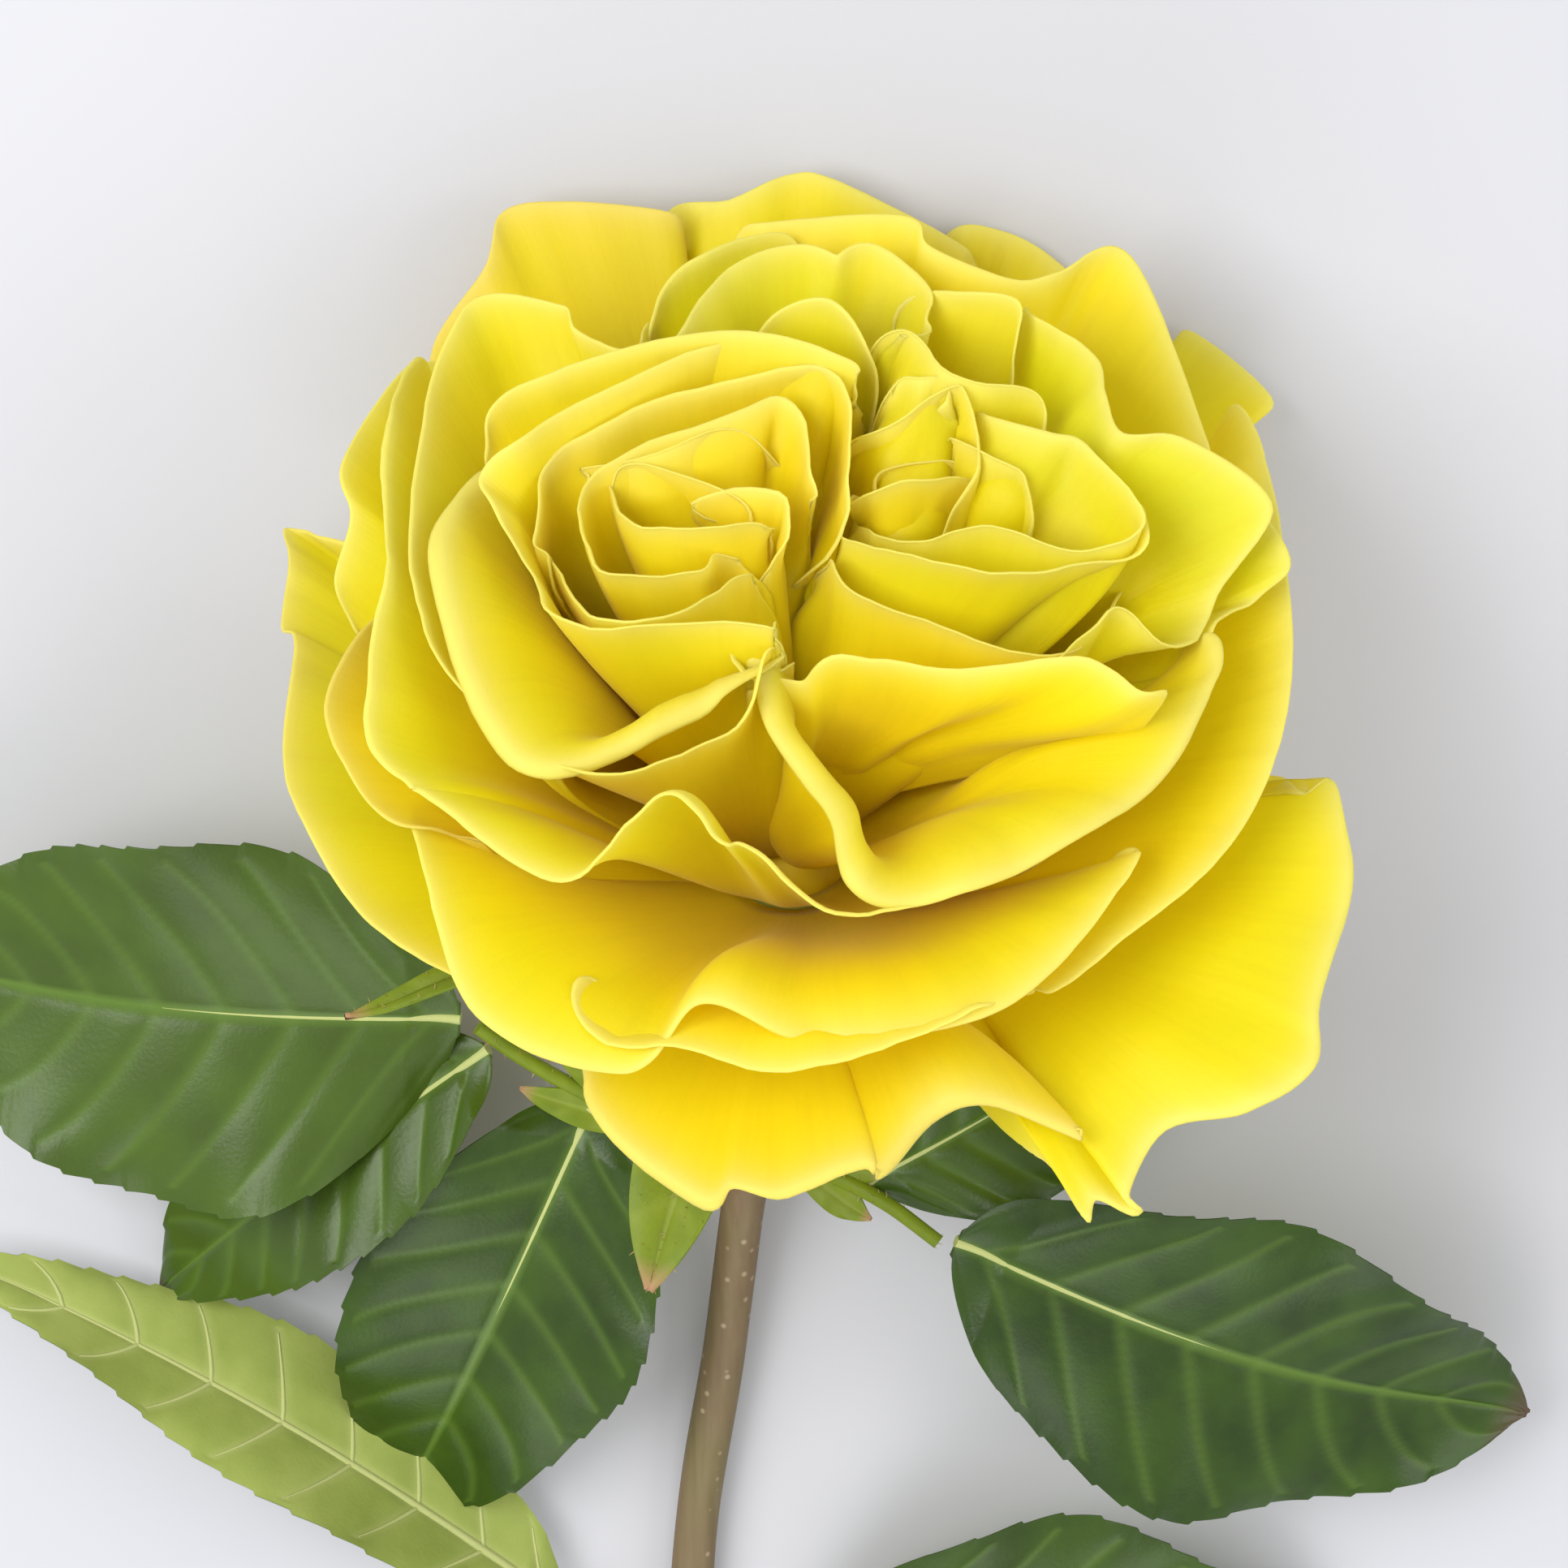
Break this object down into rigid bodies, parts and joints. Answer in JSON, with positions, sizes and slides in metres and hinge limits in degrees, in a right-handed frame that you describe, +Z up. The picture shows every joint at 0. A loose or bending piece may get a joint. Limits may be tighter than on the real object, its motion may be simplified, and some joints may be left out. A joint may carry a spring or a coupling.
{
  "type": "cut rose",
  "caption": "Cut garden rose lying on its side: ruffled double-hearted yellow bloom on a bent neck, green stem with leaves.",
  "frame": {"origin": "middle of the footprint of the whole flower at the height of the table it lies on", "axes": "+X along the stem from its cut end to the bloom, +Z up from the table, +Y to the left seen from the cut end"},
  "size_m": [0.2916, 0.1932, 0.0839],
  "materials": {
    "petal": "soft satin, slightly translucent",
    "leaf": "waxy semi-gloss",
    "sepal": "matte, finely downy",
    "stem": "smooth, slightly waxy",
    "leaf_stalk": "smooth, slightly waxy"
  },
  "bodies": {
    "root": {"left_heart": "petal", "right_heart": "petal", "left_fold_front": "petal", "left_fold_back": "petal", "right_fold_front": "petal", "left_fold_right": "petal", "left_cup_inner": "petal", "right_fold_back": "petal", "left_front_inner": "petal", "right_fold_side": "petal", "right_back_inner": "petal", "left_cup_middle": "petal", "right_cup_inner": "petal", "left_cup_outer": "petal", "right_front": "petal", "right_back_middle": "petal", "left_back_outer": "petal", "right_front_outer": "petal", "left_lip": "petal", "left_front_outer": "petal", "pocket_back": "petal", "pocket_front": "petal", "centre_curl": "petal", "centre_back": "petal", "right_back_outer": "petal", "right_ruffle": "petal", "right_ruffle_outer": "petal", "centre_back_outer": "petal", "left_wave": "petal", "left_ruffle": "petal", "left_rim": "petal", "front_crescent": "petal", "front_lip": "petal", "guard_back_left": "petal", "guard_back_right": "petal", "guard_back": "petal", "guard_left_upper": "petal", "guard_right": "petal", "guard_back_small": "petal", "guard_right_back": "petal", "guard_left": "petal", "guard_front": "petal", "guard_front_right": "petal", "stem": "stem", "left_leaf_stalk": "leaf_stalk", "right_leaf_stalk": "leaf_stalk", "low_leaf_left_stalk": "leaf_stalk", "low_leaf_right_stalk": "leaf_stalk", "left_leaf_end": "leaf", "left_leaf_upper_side": "leaf", "left_leaf_lower_side": "leaf", "right_leaf_end": "leaf", "right_leaf_side": "leaf", "low_leaf_left": "leaf", "low_leaf_right": "leaf", "sepal_front": "sepal", "sepal_left": "sepal", "sepal_right_front": "sepal", "sepal_right_back": "sepal", "sepal_back": "sepal"}
  },
  "joints": []
}
